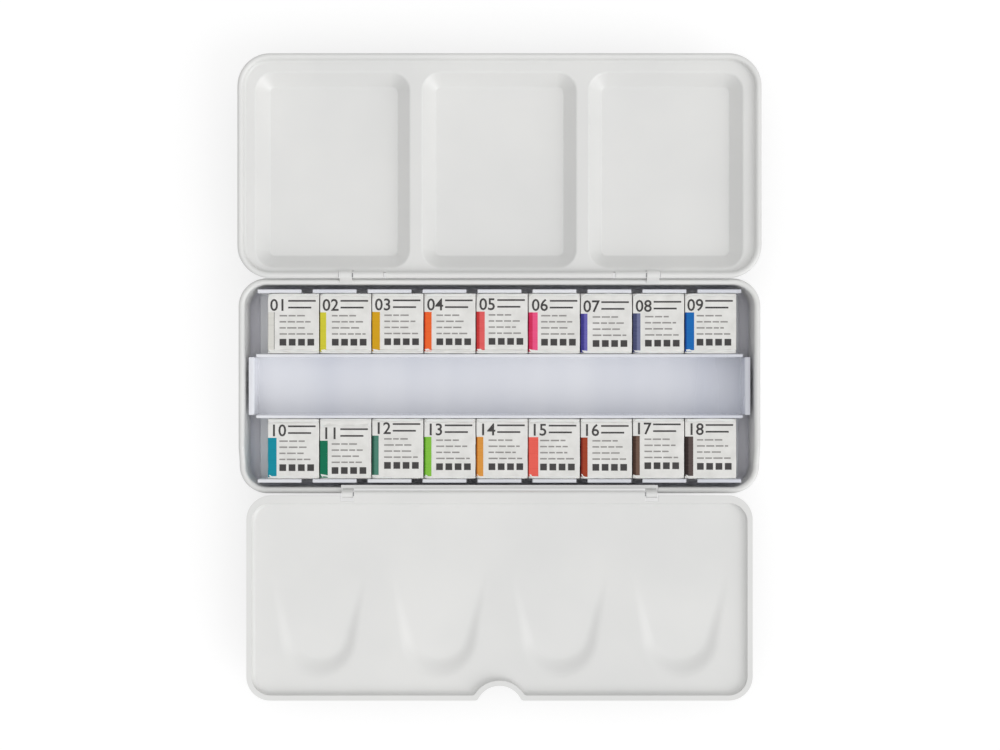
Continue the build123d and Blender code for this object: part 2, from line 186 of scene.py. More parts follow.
class StudioSettings(bpy.types.PropertyGroup):
    """Camera and light."""

    camera_height: size_property("Camera height", "Camera above the tin's rim", 550.0)
    dome: FloatProperty(
        name="Dome", description="Strength of the soft light overhead", min=0, default=0.91
    )
    horizon: FloatProperty(
        name="Horizon", description="Share of that light low down", min=0, default=0.35
    )
    hood: FloatProperty(
        name="Hood", description="Share of the light overhead that the camera's dark hood takes away",
        subtype="FACTOR", min=0, max=1, default=0.85,
    )
    key: FloatProperty(
        name="Key light", description="Strength of the light from the right", min=0, default=1.12
    )


# Shader helpers
def new_material(name):
    """A fresh material with an empty node tree apart from its surface shader."""
    material = bpy.data.materials.new(name)
    material.use_nodes = True
    return material, material.node_tree.nodes, material.node_tree.links


def node(nodes, kind, **settings):
    """A shader node with plain settings, and socket values given as name=value."""
    made = nodes.new(kind)
    for name, value in settings.items():
        if hasattr(made, name):
            setattr(made, name, value)
        else:
            made.inputs[name.replace("_", " ")].default_value = value
    return made


def group_tree(name, inputs, outputs):
    """An empty node group with named float or colour sockets."""
    tree = bpy.data.node_groups.new(name, "ShaderNodeTree")
    for label, kind, value in inputs:
        socket = tree.interface.new_socket(label, in_out="INPUT", socket_type=kind)
        socket.default_value = value
    for label, kind in outputs:
        tree.interface.new_socket(label, in_out="OUTPUT", socket_type=kind)
    return tree, tree.nodes.new("NodeGroupInput"), tree.nodes.new("NodeGroupOutput")


# What the groups for coatings and papers put out
COATED = (
    ("Colour", "NodeSocketColor"), ("Height", "NodeSocketFloat"), ("Roughness", "NodeSocketFloat"),
)


def coating_group():
    """Sprayed coating: slow colour cast, orange peel height and a roughness that wanders."""
    tree, source, result = group_tree(
        "Sprayed Coating",
        (
            ("Colour", "NodeSocketColor", (1, 1, 1, 1)),
            ("Shade", "NodeSocketColor", (0.9, 0.9, 0.9, 1)),
            ("Cast Size", "NodeSocketFloat", 30.0),
            ("Peel Size", "NodeSocketFloat", 900.0),
            ("Roughness", "NodeSocketFloat", 0.35),
            ("Stretch", "NodeSocketVector", (1, 1, 1)),
        ),
        COATED,
    )
    nodes, links = tree.nodes, tree.links
    place = nodes.new("ShaderNodeTexCoord")
    stretch = node(nodes, "ShaderNodeVectorMath", operation="MULTIPLY")
    cast = node(nodes, "ShaderNodeTexNoise", Detail=3.0)
    peel = node(nodes, "ShaderNodeTexNoise", Detail=2.0)
    specks = node(nodes, "ShaderNodeTexNoise", Detail=6.0)
    mix = node(nodes, "ShaderNodeMix", data_type="RGBA")
    soft = node(nodes, "ShaderNodeMapRange", From_Min=0.35, From_Max=0.65)
    gloss = node(nodes, "ShaderNodeMath", operation="MULTIPLY_ADD")
    gloss.inputs[1].default_value = ROUGHNESS_SWAY
    links.new(place.outputs["Object"], stretch.inputs[0])
    links.new(source.outputs["Stretch"], stretch.inputs[1])
    for texture, size in ((cast, "Cast Size"), (peel, "Peel Size"), (specks, "Cast Size")):
        links.new(stretch.outputs[0], texture.inputs["Vector"])
        links.new(source.outputs[size], texture.inputs["Scale"])
    links.new(cast.outputs["Fac"], soft.inputs["Value"])
    links.new(soft.outputs["Result"], mix.inputs["Factor"])
    links.new(source.outputs["Colour"], mix.inputs[6])
    links.new(source.outputs["Shade"], mix.inputs[7])
    links.new(specks.outputs["Fac"], gloss.inputs[0])
    links.new(source.outputs["Roughness"], gloss.inputs[2])
    links.new(mix.outputs[2], result.inputs["Colour"])
    links.new(peel.outputs["Fac"], result.inputs["Height"])
    links.new(gloss.outputs[0], result.inputs["Roughness"])
    return tree


def fibre_group():
    """Coated paper: clouded colour, fine fibre height and a mask of faint creases."""
    tree, source, result = group_tree(
        "Coated Paper",
        (
            ("Colour", "NodeSocketColor", (1, 1, 1, 1)),
            ("Shade", "NodeSocketColor", (0.9, 0.9, 0.9, 1)),
            ("Seed", "NodeSocketFloat", 0.0),
        ),
        COATED,
    )
    nodes, links = tree.nodes, tree.links
    place = nodes.new("ShaderNodeTexCoord")
    shift = node(nodes, "ShaderNodeVectorMath", operation="ADD")
    cloud = node(nodes, "ShaderNodeTexNoise", Scale=260.0, Detail=4.0)
    fibre = node(nodes, "ShaderNodeTexNoise", Scale=5200.0, Detail=3.0)
    crease = node(nodes, "ShaderNodeTexVoronoi", feature="DISTANCE_TO_EDGE", Scale=150.0)
    thin = node(nodes, "ShaderNodeMapRange", From_Min=0.0, From_Max=0.05)
    mix = node(nodes, "ShaderNodeMix", data_type="RGBA")
    soft = node(nodes, "ShaderNodeMapRange", From_Min=0.3, From_Max=0.75)
    height = node(nodes, "ShaderNodeMath", operation="MULTIPLY_ADD")
    height.inputs[1].default_value = 0.25
    rough = node(nodes, "ShaderNodeMapRange", To_Min=0.38, To_Max=0.52)
    links.new(place.outputs["Object"], shift.inputs[0])
    links.new(source.outputs["Seed"], shift.inputs[1])
    for texture in (cloud, fibre, crease):
        links.new(shift.outputs[0], texture.inputs["Vector"])
    links.new(cloud.outputs["Fac"], soft.inputs["Value"])
    links.new(soft.outputs["Result"], mix.inputs["Factor"])
    links.new(source.outputs["Colour"], mix.inputs[6])
    links.new(source.outputs["Shade"], mix.inputs[7])
    links.new(crease.outputs["Distance"], thin.inputs["Value"])
    links.new(fibre.outputs["Fac"], height.inputs[0])
    links.new(thin.outputs["Result"], height.inputs[2])
    links.new(cloud.outputs["Fac"], rough.inputs["Value"])
    links.new(mix.outputs[2], result.inputs["Colour"])
    links.new(height.outputs[0], result.inputs["Height"])
    links.new(rough.outputs["Result"], result.inputs["Roughness"])
    return tree


def strip_group():
    """Printed strip, with painted shade where the paper turns over the edge and fine streaks across
    it.
    """
    tree, source, result = group_tree(
        "Printed Strip",
        (
            ("Colour", "NodeSocketColor", (1, 1, 1, 1)),
            ("Painted Shade", "NodeSocketColor", (0.5, 0.5, 0.5, 1)),
            ("Shade Until", "NodeSocketFloat", 0.0),
        ),
        (("Colour", "NodeSocketColor"),),
    )
    nodes, links = tree.nodes, tree.links
    # How far the painted shade fades out past its edge
    shade_blend = 0.2 * MM
    place = nodes.new("ShaderNodeTexCoord")
    axes = nodes.new("ShaderNodeSeparateXYZ")
    past = node(nodes, "ShaderNodeMath", operation="SUBTRACT")
    edge = node(nodes, "ShaderNodeMapRange", From_Min=-shade_blend, From_Max=shade_blend)
    squeeze = node(nodes, "ShaderNodeVectorMath", operation="MULTIPLY")
    squeeze.inputs[1].default_value = (0.06, 1, 1)
    streak = node(nodes, "ShaderNodeTexNoise", Scale=2600.0, Detail=2.0)
    sway = node(
        nodes, "ShaderNodeMapRange", From_Min=0.3, From_Max=0.7, To_Min=-0.16, To_Max=0.16
    )
    total = node(nodes, "ShaderNodeMath", operation="ADD")
    total.use_clamp = True
    mix = node(nodes, "ShaderNodeMix", data_type="RGBA")
    links.new(place.outputs["Object"], axes.inputs[0])
    links.new(axes.outputs["X"], past.inputs[0])
    links.new(source.outputs["Shade Until"], past.inputs[1])
    links.new(past.outputs[0], edge.inputs["Value"])
    links.new(place.outputs["Object"], squeeze.inputs[0])
    links.new(squeeze.outputs[0], streak.inputs["Vector"])
    links.new(streak.outputs["Fac"], sway.inputs["Value"])
    links.new(edge.outputs["Result"], total.inputs[0])
    links.new(sway.outputs["Result"], total.inputs[1])
    links.new(total.outputs[0], mix.inputs["Factor"])
    links.new(source.outputs["Painted Shade"], mix.inputs[6])
    links.new(source.outputs["Colour"], mix.inputs[7])
    links.new(mix.outputs[2], result.inputs["Colour"])
    return tree


def grouped(name, build):
    """The node group of that name, built the first time that it is asked for."""
    return bpy.data.node_groups.get(name) or build()


def coated_material(name, group, values, bump, distance, **surface):
    """A material whose colour, roughness and bump come from a coating or paper group."""
    material, nodes, links = new_material(name)
    shader = nodes["Principled BSDF"]
    for label, value in surface.items():
        shader.inputs[label.replace("_", " ")].default_value = value
    effect = nodes.new("ShaderNodeGroup")
    effect.node_tree = group
    for label, value in values.items():
        socket = effect.inputs[label]
        socket.default_value = (*value, 1) if socket.type == "RGBA" else value
    relief = node(nodes, "ShaderNodeBump", Strength=bump, Distance=distance)
    links.new(effect.outputs["Colour"], shader.inputs["Base Color"])
    links.new(effect.outputs["Roughness"], shader.inputs["Roughness"])
    links.new(effect.outputs["Height"], relief.inputs["Height"])
    links.new(relief.outputs["Normal"], shader.inputs["Normal"])
    return material


def enamel_material(finish):
    """White stoving enamel, thick and slightly uneven."""
    return coated_material(
        "Stoving Enamel", grouped("Sprayed Coating", coating_group),
        {
            "Colour": finish.enamel, "Shade": finish.enamel_shade, "Cast Size": 26.0,
            "Peel Size": 950.0, "Roughness": finish.gloss - ROUGHNESS_SWAY / 2,
            "Stretch": (1, 1, 1),
        },
        bump=0.10, distance=0.00006, Coat_Weight=0.25, Coat_Roughness=0.18, IOR=1.5,
    )


def tin_material(finish):
    """The tin's enamel, with a lilac-grey lacquer on the floor inside it, kept lighter than the
    enamel as painted light on that deep floor.
    """
    material = enamel_material(finish)
    material.name = "Tin Enamel"
    nodes, links = material.node_tree.nodes, material.node_tree.links
    shader = nodes["Principled BSDF"]
    enamel = shader.inputs["Base Color"].links[0].from_socket
    # Low, upward faces take the inside colour: partly lacquer, partly painted light
    lacquer_and_light_full, lacquer_and_light_ends = 3.0 * MM, 4.6 * MM
    place = nodes.new("ShaderNodeTexCoord")
    axes = nodes.new("ShaderNodeSeparateXYZ")
    faces_up = nodes.new("ShaderNodeSeparateXYZ")
    deep = node(nodes, "ShaderNodeMapRange", From_Min=lacquer_and_light_ends, From_Max=lacquer_and_light_full)
    upward = node(nodes, "ShaderNodeMapRange", From_Min=-0.1, From_Max=0.1)
    both = node(nodes, "ShaderNodeMath", operation="MULTIPLY")
    mix = node(nodes, "ShaderNodeMix", data_type="RGBA")
    mix.inputs[7].default_value = (*finish.inside, 1)
    links.new(place.outputs["Object"], axes.inputs[0])
    links.new(place.outputs["Normal"], faces_up.inputs[0])
    links.new(axes.outputs["Z"], deep.inputs["Value"])
    links.new(faces_up.outputs["Z"], upward.inputs["Value"])
    links.new(deep.outputs["Result"], both.inputs[0])
    links.new(upward.outputs["Result"], both.inputs[1])
    links.new(both.outputs[0], mix.inputs["Factor"])
    links.new(enamel, mix.inputs[6])
    links.new(mix.outputs[2], shader.inputs["Base Color"])
    return material


def lacquer_material(finish):
    """Thin pale lacquer on bright sheet, with soft lengthwise bands of painted reflection."""
    # The slow colour cast, stretched lengthwise, paints the sheet's streaks of reflection
    return coated_material(
        "Holder Lacquer", grouped("Sprayed Coating", coating_group),
        {
            "Colour": finish.lacquer, "Shade": finish.lacquer_painted_streak, "Cast Size": 22.0,
            "Peel Size": 700.0, "Roughness": 0.2, "Stretch": (1, 0.12, 0.12),
        },
        bump=0.12, distance=0.00005, Coat_Weight=0.4, Coat_Roughness=0.12,
    )


def wire_material(finish):
    """Drawn steel wire."""
    return coated_material(
        "Drawn Wire", grouped("Sprayed Coating", coating_group),
        {
            "Colour": finish.wire, "Shade": lit(finish.wire, 0.8), "Cast Size": 300.0,
            "Peel Size": 2500.0, "Roughness": 0.25, "Stretch": (0.1, 1, 1),
        },
        bump=0.2, distance=0.00003, Metallic=1.0,
    )


def plastic_material():
    """Moulded white polystyrene of the half pans."""
    return coated_material(
        "Pan Plastic", grouped("Sprayed Coating", coating_group),
        {
            "Colour": linear((0.93, 0.93, 0.92)), "Shade": linear((0.90, 0.90, 0.89)),
            "Cast Size": 120.0, "Peel Size": 1500.0, "Roughness": 0.28, "Stretch": (1, 1, 1),
        },
        bump=0.08, distance=0.00004, Subsurface_Weight=0.05, Subsurface_Scale=0.001,
    )


def paint_material(name, colour):
    """A dried cake of watercolour."""
    return coated_material(
        f"Paint {name}", grouped("Sprayed Coating", coating_group),
        {
            "Colour": lit(linear(colour), 0.8), "Shade": lit(linear(colour), 0.6),
            "Cast Size": 240.0, "Peel Size": 1800.0, "Roughness": 0.5, "Stretch": (1, 1, 1),
        },
        bump=0.4, distance=0.00012, Specular_IOR_Level=0.4,
    )


def paper_material(name, colour, shade, seed):
    """Coated label paper, or ink of a given colour printed on it."""
    return coated_material(
        name, grouped("Coated Paper", fibre_group),
        {"Colour": colour, "Shade": shade, "Seed": seed},
        bump=0.25, distance=0.00005, Coat_Weight=0.15, Coat_Roughness=0.3,
    )


def strip_material(name, colour, shade_until):
    """Ink of a paint's colour, with painted shade left of a given place."""
    light = linear(colour)
    # Painted shade: a darker copy of the ink for where the paper turns over the strip's edge
    deep = tuple(0.8 * c ** 1.5 for c in light)
    material = paper_material(f"Strip {name}", light, light, 0.0)
    nodes, links = material.node_tree.nodes, material.node_tree.links
    ink = nodes.new("ShaderNodeGroup")
    ink.node_tree = grouped("Printed Strip", strip_group)
    ink.inputs["Colour"].default_value = (*light, 1)
    ink.inputs["Painted Shade"].default_value = (*deep, 1)
    ink.inputs["Shade Until"].default_value = shade_until
    shader = nodes["Principled BSDF"]
    shader.inputs["Coat Weight"].default_value = 0.0
    shader.inputs["Specular IOR Level"].default_value = 0.2
    links.new(ink.outputs["Colour"], shader.inputs["Base Color"])
    return material


def dress(part, material):
    """Gives a part one material in place of what it came with."""
    part.data.materials.clear()
    part.data.materials.append(material)


def ride_on(piece, body):
    """Fastens a finished piece to the body that carries it."""
    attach(piece, body)
    return piece


# Shapes
def marks(stops, steps):
    """Grid lines over a run of stops, about a given step apart between each two of them."""
    lines = [stops[0]]
    for a, b, step in zip(stops, stops[1:], steps):
        count = max(1, round((b - a) / step))
        lines += [a + (b - a) * (i + 1) / count for i in range(count)]
    return lines


def near(distance, reach):
    """One at a distance of nought, falling smoothly to nought at the reach."""
    share = max(0.0, 1 - max(0.0, distance) / reach)
    return share * share * (3 - 2 * share)


def finished_mesh(name, mesh):
    """Mesh data made from a bmesh, which is then freed."""
    bmesh.ops.recalc_face_normals(mesh, faces=mesh.faces)
    data = bpy.data.meshes.new(name)
    mesh.to_mesh(data)
    mesh.free()
    return data


def linked_object(name, data):
    """A new object in the scene for a finished mesh."""
    made = bpy.data.objects.new(name, data)
    bpy.context.scene.collection.objects.link(made)
    return made


# Mixing flap
def soft_min(a, b, soft):
    """The lesser of two depths, with a rounded turn from one to the other."""
    share = max(0.0, min(1.0, 0.5 + 0.5 * (b - a) / soft))
    return b + (a - b) * share - soft * share * (1 - share)


class ThumbWell:
    """One thumb well, a smooth dip in the flap's panel within a border that narrows downwards."""

    step = 0.7 * MM
    # How far the border stands above the well's mouth and below its end
    run_in, run_out = 7.5 * MM, 5.8 * MM
    # Half the border's width at its top and at its bottom
    wide, narrow = 17.5 * MM, 12.5 * MM
    # How near a point counts as in the panel, and as on a cut
    panel_slack, cut_slack = 0.05 * MM, 1e-7

    def __init__(self, x, free_edge, panel_z, sizes):
        self.x, self.panel_z, self.sizes = x, panel_z, sizes
        self.start = free_edge + sizes.start
        self.centre = self.start - sizes.length + sizes.radius
        self.top = self.start + self.run_in
        self.bottom = self.start - sizes.length - self.run_out
        reach, half = sizes.length - sizes.radius, sizes.mouth / 2
        flare = atan2(reach, half) - acos(sizes.radius / hypot(reach, half))
        self.outward = Vector((cos(flare), sin(flare)))
        self.along = Vector((-sin(flare), cos(flare)))

    def depth(self, x, y):
        """How far the panel is pressed down at a place."""
        sizes = self.sizes
        place = Vector((abs(x - self.x), y - self.centre))
        straight = place.dot(self.along) > 0
        outside = (place.dot(self.outward) if straight else place.length) - sizes.radius
        floor = (self.start - y) * tan(sizes.fall)
        dip = soft_min(floor, floor - outside * tan(sizes.rise), sizes.softness)
        return -soft_min(-dip, 0.0, sizes.softness)

    def on_panel(self, face):
        """Whether a face of the flap belongs to its panel or its wells."""
        return all(vert.co.z < self.panel_z + self.panel_slack for vert in face.verts)

    def cut(self, mesh):
        """Takes the plain well out of the panel, up to four straight cuts round it."""
        lean = Vector((self.top - self.bottom, self.narrow - self.wide)).normalized()
        sides = (
            (Vector((self.x, self.top)), Vector((0, 1))),
            (Vector((self.x, self.bottom)), Vector((0, -1))),
            (Vector((self.x + self.wide, self.top)), lean),
            (Vector((self.x - self.wide, self.top)), Vector((-lean.x, lean.y))),
        )
        for point, normal in sides:
            panel = [face for face in mesh.faces if self.on_panel(face)]
            parts = {part for face in panel for part in (*face.edges, *face.verts)}
            bmesh.ops.bisect_plane(
                mesh, geom=[*panel, *parts], plane_co=(*point, 0), plane_no=(*normal, 0),
                dist=self.cut_slack,
            )
        inside = [
            face for face in mesh.faces
            if self.on_panel(face)
            and all(
                (face.calc_center_median().xy - point).dot(normal) < 0 for point, normal in sides
            )
        ]
        bmesh.ops.delete(mesh, geom=inside, context="FACES")

    def press(self, mesh):
        """Fills the cut with the softly drawn well, its upper side and its underside."""
        rows = marks((self.bottom, self.top), (self.step,))[::-1]
        shares = marks((-1, 1), (self.step / self.wide,))
        for level, over in ((self.panel_z, 1), (self.panel_z - self.sizes.sheet, -1)):
            grid = []
            for y in rows:
                down = (self.narrow - self.wide) * (self.top - y) / (self.top - self.bottom)
                places = [self.x + share * (self.wide + down) for share in shares]
                grid.append([mesh.verts.new((x, y, level - self.depth(x, y))) for x in places])
            for upper, lower in zip(grid, grid[1:]):
                for i in range(len(shares) - 1):
                    corners = (lower[i], lower[i + 1], upper[i + 1], upper[i])
                    mesh.faces.new(corners[::over])


def flap_mesh(sizes):
    """The flap where model.glb places it, with its thumb wells drawn softly into the sheet."""
    low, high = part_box("mixing_flap")
    mesh = bmesh.new()
    mesh.from_mesh(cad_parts["mixing_flap"].data)
    bmesh.ops.remove_doubles(mesh, verts=mesh.verts[:], dist=0.001 * MM)
    middle, panel_z = (low.x + high.x) / 2, high.z - sizes.recess
    wells = [
        ThumbWell(middle + (i - (sizes.count - 1) / 2) * sizes.pitch, low.y, panel_z, sizes)
        for i in range(sizes.count)
    ]
    for well in wells:
        well.cut(mesh)
    for well in wells:
        well.press(mesh)
    for face in mesh.faces:
        face.smooth = True
    data = bpy.data.meshes.new("mixing_flap_pressed")
    mesh.to_mesh(data)
    mesh.free()
    if "custom_normal" in data.attributes:
        data.attributes.remove(data.attributes["custom_normal"])
    data.set_sharp_from_angle(angle=radians(25))
    return data


# Wrapped half pans
class WrapperForm:
    """One wrapper: where it lies, how its print has slipped and how its paper is creased."""

    # Spacing of the mesh by the edges and inside them, and where the one gives way to the other
    fine, coarse, margin = 0.22 * MM, 0.75 * MM, 2.2 * MM
    # Reach of the creases, of the crushed corners across and along, and of both down the sides
    crease_reach, crush_across, crush_along, upper_reach = 0.5 * MM, 1.7 * MM, 2.0 * MM, 1.5 * MM
    # Sway of the fold's line, its least distance from the end, and depth of the tucks in the ends
    line_sway, least_line, tuck_depth = 0.35 * MM, 0.35 * MM, 0.14 * MM
    # Places on the label from its middle and sizes of what is printed there, in mm
    number_left, number_low, number_size = -7.3, 4.0, 5.2
    heading_left, headings = -1.6, ((7.0, 6.8), (5.6, 4.7))
    text_left, text_low, text_pitch = -4.3, 2.2, 1.9
    text_ends = (3.6, 5.4, 4.2, 6.2)
    squares, square_side, square_pitch, square_low = 4, 2.1, 2.9, -6.9
    dash, dash_sway, dash_gap, least_dash = 2.3, 1.2, 0.45, 0.8
    # Heights of the rules, and how far the print stands over the paper
    tall_rule, line_rule, bar_lift, number_lift = 0.52 * MM, 0.45 * MM, 0.022 * MM, 0.026 * MM
    # Side of the cells that a print is cut into, in mm, and their number each way from the middle
    cell, cells = 0.5, 20

    def __init__(self, number, strip_width, slip, name, paper):
        low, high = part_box(f"wrapper_{name}")
        self.name, self.number, self.paper = name, number, paper
        self.middle, self.half = (low + high) / 2, (high - low) / 2
        self.inner = -1 if name in {row[0] for row in BACK_ROW} else 1
        self.seed = Vector((number * 3.7, number * 1.9, number * 5.3))
        self.slip_x = 0.3 * MM * noise.noise(self.seed * 0.61)
        self.slip_y = slip * MM
        self.strip_right = -self.half.x + strip_width * MM
        self.strip_top = self.half.y - paper.strip_top + self.slip_y
        lowest = 0.3 * MM - self.half.y
        self.strip_bottom = max(self.strip_top - paper.strip_length, lowest)

    def wave(self, x, y, pitch):
        """Smooth noise from minus one to one over the label, its waves about a pitch long."""
        return noise.noise(Vector((x, y, 0)) / (pitch * MM) + self.seed)

    def end_drop(self, x, y, end, line, depth):
        """How far the paper dips along the crease by one end and over the fold past it."""
        away = self.half.y - end * y
        line += self.line_sway * self.wave(x, 0, 2.4)
        crease = depth * near(abs(away - line), self.crease_reach)
        past = near(away, 0.4 * max(line, 0.4 * MM))
        crumple = 0.55 + 0.45 * self.wave(x, y, 0.8)
        return crease * (0.75 + 0.35 * self.wave(x, 0, 1.3)) + depth * past * crumple

    def surface(self, point):
        """A point of the plain box, moved onto the creased paper."""
        radius = self.paper.edge_round
        core = Vector(max(radius - h, min(h - radius, c)) for c, h in zip(point, self.half))
        out = (point - core).normalized()
        moved = core + out * radius
        x, y = point.x, point.y
        moved -= out * self.paper.ripple * (0.5 + 0.5 * self.wave(x + point.z, y, 3.4))
        upper = near(self.half.z - point.z, self.upper_reach)
        if upper:
            line = max(self.paper.fold_line - self.inner * self.slip_y, self.least_line)
            drop = self.end_drop(x, y, self.inner, line, self.paper.fold_depth)
            drop += self.end_drop(x, y, -self.inner, 0.5 * line, 0.6 * self.paper.fold_depth)
            crumple = 0.7 + 0.6 * self.wave(x, y, 0.7)
            for side, share in ((-1, 1.0), (1, 0.35)):
                aside = near(self.half.x - side * x, self.crush_across)
                crushed = aside * near(self.half.y + self.inner * y, self.crush_along)
                drop += share * crushed * self.paper.corner_crush * crumple
            moved.z -= upper * max(0.0, drop)
        if abs(y) > self.half.y - radius:
            level, side = abs(point.z) / self.half.z, abs(x) / self.half.x
            tuck = max(near(abs(level - side), 0.08), near(abs(point.z) / self.half.z, 0.06))
            moved.y -= self.tuck_depth * tuck * (1 if y > 0 else -1)
        return moved

    def lay_down(self, mesh):
        """Lays a flat print onto the paper, each point as high above it as it was above nought."""
        for normal in ((1, 0, 0), (0, 1, 0)):
            for step in range(-self.cells, self.cells + 1):
                parts = [*mesh.verts, *mesh.edges, *mesh.faces]
                place = Vector(normal) * step * self.cell * MM
                bmesh.ops.bisect_plane(mesh, geom=parts, plane_co=place, plane_no=normal, dist=1e-8)
        for vert in mesh.verts:
            x, y, lift = vert.co
            on_paper = self.middle + self.surface(Vector((x, y, self.half.z)))
            vert.co = on_paper + Vector((0, 0, lift))

    def lines(self, half):
        """Grid lines across one side of the wrapper, finer by its edges."""
        edge = half - self.margin
        return marks((-half, -edge, edge, half), (self.fine, self.coarse, self.fine))

    def paper_mesh(self):
        """The whole skin of the wrapper as one closed mesh, its strip in a second material."""
        hx, hy, hz = self.half
        ys = sorted({*self.lines(hy), self.strip_bottom, self.strip_top})
        xs = sorted({*self.lines(hx), self.strip_right})
        zs = self.lines(hz)
        mesh = bmesh.new()
        corners = {}

        def corner(*place):
            key = tuple(round(c / MM, 6) for c in place)
            if key not in corners:
                corners[key] = mesh.verts.new(self.middle + self.surface(Vector(place)))
            return corners[key]

        def panel(us, vs, place, inked=lambda u, v: False):
            for a, b in zip(us, us[1:]):
                for c, d in zip(vs, vs[1:]):
                    square = ((a, c), (b, c), (b, d), (a, d))
                    face = mesh.faces.new([corner(*place(*p)) for p in square])
                    face.smooth = True
                    face.material_index = int(inked((a + b) / 2, (c + d) / 2))

        def over_strip(y):
            return self.strip_bottom < y < self.strip_top

        panel(xs, ys, lambda u, v: (u, v, hz), lambda u, v: u < self.strip_right and over_strip(v))
        panel(ys, xs, lambda u, v: (v, u, -hz))
        panel(ys, zs, lambda u, v: (hx, u, v))
        panel(zs, ys, lambda u, v: (-hx, v, u), lambda u, v: u > -hz / 3 and over_strip(v))
        panel(xs, zs, lambda u, v: (u, -hy, v))
        panel(zs, xs, lambda u, v: (v, hy, u))
        return finished_mesh(f"wrapper_paper_{self.name}", mesh)

    def patch(self, mesh, x0, x1, low, tall, ink):
        """A printed bar that follows the paper, in a given ink."""
        xs = marks((x0, x1), (self.cell * MM,))
        ys = marks((low, low + tall), (self.cell * MM,))
        rows = [[mesh.verts.new((x, y, self.bar_lift)) for x in xs] for y in ys]
        for under, over in zip(rows, rows[1:]):
            for i in range(len(xs) - 1):
                face = mesh.faces.new((under[i], under[i + 1], over[i + 1], over[i]))
                face.material_index = ink
                face.smooth = True

    def broken_rule(self, mesh, x, end, low, tall, ink):
        """A rule broken into dashes of uneven length."""
        step = 0
        while x < end - self.least_dash * MM:
            step += 1
            chance = noise.noise(self.seed + Vector((step * 1.7, low / MM, 0)))
            dash = (self.dash + self.dash_sway * chance) * MM
            self.patch(mesh, x, min(x + dash, end), low, tall, ink)
            x += dash + self.dash_gap * MM

    def digits(self, mesh, x, y, size):
        """The pan's plain number, as flat faces."""
        curve = bpy.data.curves.new("number", "FONT")
        curve.body = f"{self.number:02d}"
        curve.size = size
        curve.offset = 0.06 * MM
        curve.resolution_u = 3
        text = linked_object("number", curve)
        bpy.context.view_layer.update()
        shown = text.evaluated_get(bpy.context.evaluated_depsgraph_get())
        flat = bpy.data.meshes.new_from_object(shown)
        lift = self.number_lift
        points = [mesh.verts.new((x + v.co.x, y + v.co.y, lift)) for v in flat.vertices]
        for polygon in flat.polygons:
            mesh.faces.new([points[i] for i in polygon.vertices])
        bpy.data.objects.remove(text)
        bpy.data.curves.remove(curve)
        bpy.data.meshes.remove(flat)

    def print_mesh(self):
        """The printed number, its heading rules, four broken rules and a row of squares."""
        mesh = bmesh.new()
        x, y = self.slip_x, self.slip_y
        left, low = x + self.number_left * MM, y + self.number_low * MM
        self.digits(mesh, left, low, self.number_size * MM)
        for end, low in self.headings:
            left = x + self.heading_left * MM
            self.patch(mesh, left, x + end * MM, y + low * MM, self.tall_rule, 0)
        for row, end in enumerate(self.text_ends):
            low = y + (self.text_low - self.text_pitch * row) * MM
            self.broken_rule(mesh, x + self.text_left * MM, x + end * MM, low, self.line_rule, 1)
        side = self.square_side * MM
        for square in range(self.squares):
            left = x + (self.text_left + self.square_pitch * square) * MM
            self.patch(mesh, left, left + side, y + self.square_low * MM, side, 0)
        if self.number == 1:
            # The cream strip hardly shows on the paper, so a thin line bounds it
            right, tall = self.strip_right + 0.15 * MM, self.strip_top - self.strip_bottom
            self.patch(mesh, self.strip_right, right, self.strip_bottom, tall, 0)
        self.lay_down(mesh)
        return finished_mesh(f"wrapper_print_{self.name}", mesh)


# Operators
class PAINTTIN_OT_enamel(bpy.types.Operator):
    """Enamels the base tin, the lid and the mixing flap"""

    bl_idname = "painttin.enamel"
    bl_label = "Enamel the Tin"

    def execute(self, context):
        material = enamel_material(context.scene.tin_finish)
        dress(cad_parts["lid"], material)
        flap = linked_object("flap_pressed", flap_mesh(context.scene.thumb_wells))
        even = flap.modifiers.new("even_normals", "WEIGHTED_NORMAL")
        even.keep_sharp = True
        dress(flap, material)
        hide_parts("mixing_flap")
        ride_on(flap, "mixing_flap")
        dress(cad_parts["base_tin"], tin_material(context.scene.tin_finish))
        return {"FINISHED"}


class PAINTTIN_OT_wires(bpy.types.Operator):
    """Gives the hinge wires their drawn steel"""

    bl_idname = "painttin.wires"
    bl_label = "Finish the Hinge Wires"

    def execute(self, context):
        material = wire_material(context.scene.tin_finish)
        for name in ("lid_hinge_pins", "flap_hinge_pin"):
            dress(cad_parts[name], material)
        return {"FINISHED"}


class PAINTTIN_OT_holder(bpy.types.Operator):
    """Lacquers the bent sheet that holds the pans"""

    bl_idname = "painttin.holder"
    bl_label = "Lacquer the Pan Holder"

    def execute(self, context):
        dress(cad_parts["pan_holder"], lacquer_material(context.scene.tin_finish))
        return {"FINISHED"}


class PAINTTIN_OT_pans(bpy.types.Operator):
    """Finishes the moulded half pans and the paint inside them"""

    bl_idname = "painttin.pans"
    bl_label = "Fill the Half Pans"

    def execute(self, context):
        plastic = plastic_material()
        for name, colour, *_ in BACK_ROW + FRONT_ROW:
            dress(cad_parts[f"half_pan_{name}"], plastic)
            dress(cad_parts[f"paint_{name}"], paint_material(name, colour))
        return {"FINISHED"}


